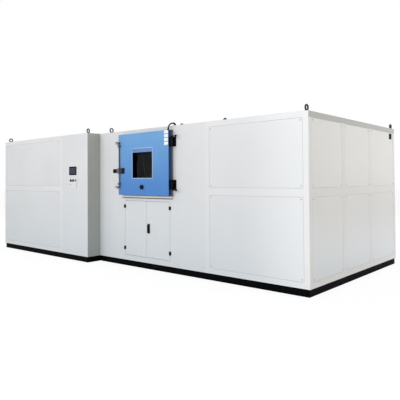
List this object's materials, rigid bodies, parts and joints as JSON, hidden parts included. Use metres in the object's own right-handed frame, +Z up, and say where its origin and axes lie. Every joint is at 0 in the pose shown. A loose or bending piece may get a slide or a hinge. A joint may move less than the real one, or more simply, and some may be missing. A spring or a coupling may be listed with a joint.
{
  "type": "environmental test chamber",
  "caption": "Walk-around climatic test chamber: long panelled enclosure with a machine cabinet, a raised blue insulated door with a window, and service doors below.",
  "frame": {"origin": "middle of the footprint of the bounding box, on the floor", "axes": "+X along the front to the right, +Y from front to rear, +Z up"},
  "size_m": [7.235, 3.351, 2.3885],
  "materials": {
    "white_coat": "gloss powder coat",
    "grey_coat": "satin powder coat",
    "black_coat": "satin paint",
    "primer_steel": "matt primer",
    "blue_coat": "satin powder coat",
    "control_white": "satin paint",
    "black_plastic": "moulded",
    "black_metal": "satin paint",
    "zinc_steel": "zinc plated",
    "stainless": "brushed",
    "foam": "cut foam",
    "silicone": "matt",
    "conduit": "ribbed",
    "window_glass": "clear",
    "screen_glass": "gloss",
    "wiper_parts": "satin",
    "red_plastic": "moulded",
    "tank_plastic": "moulded"
  },
  "bodies": {
    "enclosure": {"base_frame": "black_coat", "main_frame": "white_coat", "cabinet_frame": "white_coat", "floor_plates": "primer_steel", "front_sheet": "white_coat", "front_panels": "white_coat", "right_side_panels": "white_coat", "side_vent": "black_plastic", "rear_panels": "white_coat", "rear_louvre": "white_coat", "partition_panels": "primer_steel", "cabinet_left_panels": "white_coat", "control_column_panel": "white_coat", "cabinet_return_panel": "grey_coat", "roof_sheets": "white_coat", "eye_bolts": "zinc_steel", "door_portal": "primer_steel", "chamber_insulation": "foam", "chamber_liner": "stainless", "air_baffle": "stainless", "conditioning_coils": "stainless", "fan_motors": "black_metal", "chamber_shelf": "stainless", "chamber_stand": "primer_steel", "drip_rail": "white_coat", "door_conduit": "conduit", "roof_gland": "black_plastic", "hinge_brackets": "black_metal", "hinge_pins": "black_metal", "locking_keepers": "zinc_steel", "hmi_housing": "black_plastic", "hmi_screen": "screen_glass", "control_plate": "control_white", "refrigeration_set": "primer_steel", "condenser": "zinc_steel", "electrical_plate": "zinc_steel", "water_tank": "tank_plastic"},
    "chamber_door": {"door_skin": "blue_coat", "door_insulation": "foam", "door_liner": "stainless", "door_gasket": "silicone", "window_frame": "black_metal", "window_panes": "window_glass", "door_gland": "black_plastic", "chamber_hinge_straps": "black_metal", "locking_bar_guides": "zinc_steel"},
    "locking_bar": {"locking_bar": "zinc_steel"},
    "wiper": {"wiper_knob": "black_plastic", "wiper_arm": "wiper_parts"},
    "service_door_left": {"service_door_left": "white_coat"},
    "service_door_right": {"service_door_right": "white_coat", "swing_handle_base": "black_plastic"},
    "handle_lock": {"swing_handle_lock": "black_plastic"},
    "handle_lever": {"swing_handle_lever": "black_plastic"},
    "circulation_fan": {"circulation_fan": "stainless"},
    "condenser_fan_lower": {"condenser_fan_lower": "stainless"},
    "condenser_fan_upper": {"condenser_fan_upper": "stainless"},
    "power_switch": {"power_switch": "black_plastic"},
    "stop_button": {"stop_button": "red_plastic"},
    "port_cover": {"port_cover": "black_plastic"}
  },
  "joints": [
    {"name": "chamber_door_hinge", "type": "hinge", "parent": "enclosure", "child": "chamber_door", "pos_m": [1.3145, -1.4275, 1.717], "axis": [0, 0, 1], "range_deg": [0, 105]},
    {"name": "locking_bar_turn", "type": "hinge", "parent": "chamber_door", "child": "locking_bar", "pos_m": [0.1145, -1.4795, 1.611], "axis": [0, 0, 1], "range_deg": [0, 90]},
    {"name": "wiper_sweep", "type": "hinge", "parent": "chamber_door", "child": "wiper", "pos_m": [0.6775, -1.4625, 1.34], "axis": [0, 1, 0], "range_deg": [-14, 42]},
    {"name": "service_door_left_hinge", "type": "hinge", "parent": "enclosure", "child": "service_door_left", "pos_m": [0.1345, -1.3835, 0.6], "axis": [0, 0, -1], "range_deg": [0, 110]},
    {"name": "service_door_right_hinge", "type": "hinge", "parent": "enclosure", "child": "service_door_right", "pos_m": [1.2165, -1.3835, 0.6], "axis": [0, 0, 1], "range_deg": [0, 110]},
    {"name": "handle_turn", "type": "hinge", "parent": "service_door_right", "child": "handle_lock", "pos_m": [0.7315, -1.3675, 0.717], "axis": [0, -1, 0], "range_deg": [0, 90]},
    {"name": "handle_lift", "type": "hinge", "parent": "handle_lock", "child": "handle_lever", "pos_m": [0.7315, -1.3885, 0.717], "axis": [-1, 0, 0], "range_deg": [0, 35]},
    {"name": "circulation_fan_spin", "type": "hinge", "parent": "enclosure", "child": "circulation_fan", "pos_m": [0.6795, -0.0145, 1.852], "axis": [0, 1, 0], "continuous": true},
    {"name": "condenser_fan_lower_spin", "type": "hinge", "parent": "enclosure", "child": "condenser_fan_lower", "pos_m": [-2.093, 1.4855, 0.38443], "axis": [0, 1, 0], "continuous": true},
    {"name": "condenser_fan_upper_spin", "type": "hinge", "parent": "enclosure", "child": "condenser_fan_upper", "pos_m": [-2.093, 1.4855, 0.94727], "axis": [0, 1, 0], "continuous": true},
    {"name": "power_switch_turn", "type": "hinge", "parent": "enclosure", "child": "power_switch", "pos_m": [-1.0655, -1.6415, 1.453], "axis": [0, 1, 0], "range_deg": [0, 90]},
    {"name": "stop_button_press", "type": "slide", "parent": "enclosure", "child": "stop_button", "axis": [0, 1, 0], "range_m": [0, 0.004], "stiffness_N_per_m": 800},
    {"name": "port_cover_lift", "type": "hinge", "parent": "enclosure", "child": "port_cover", "pos_m": [-0.9205, -1.658, 1.468], "axis": [-1, 0, 0], "range_deg": [0, 100]}
  ]
}
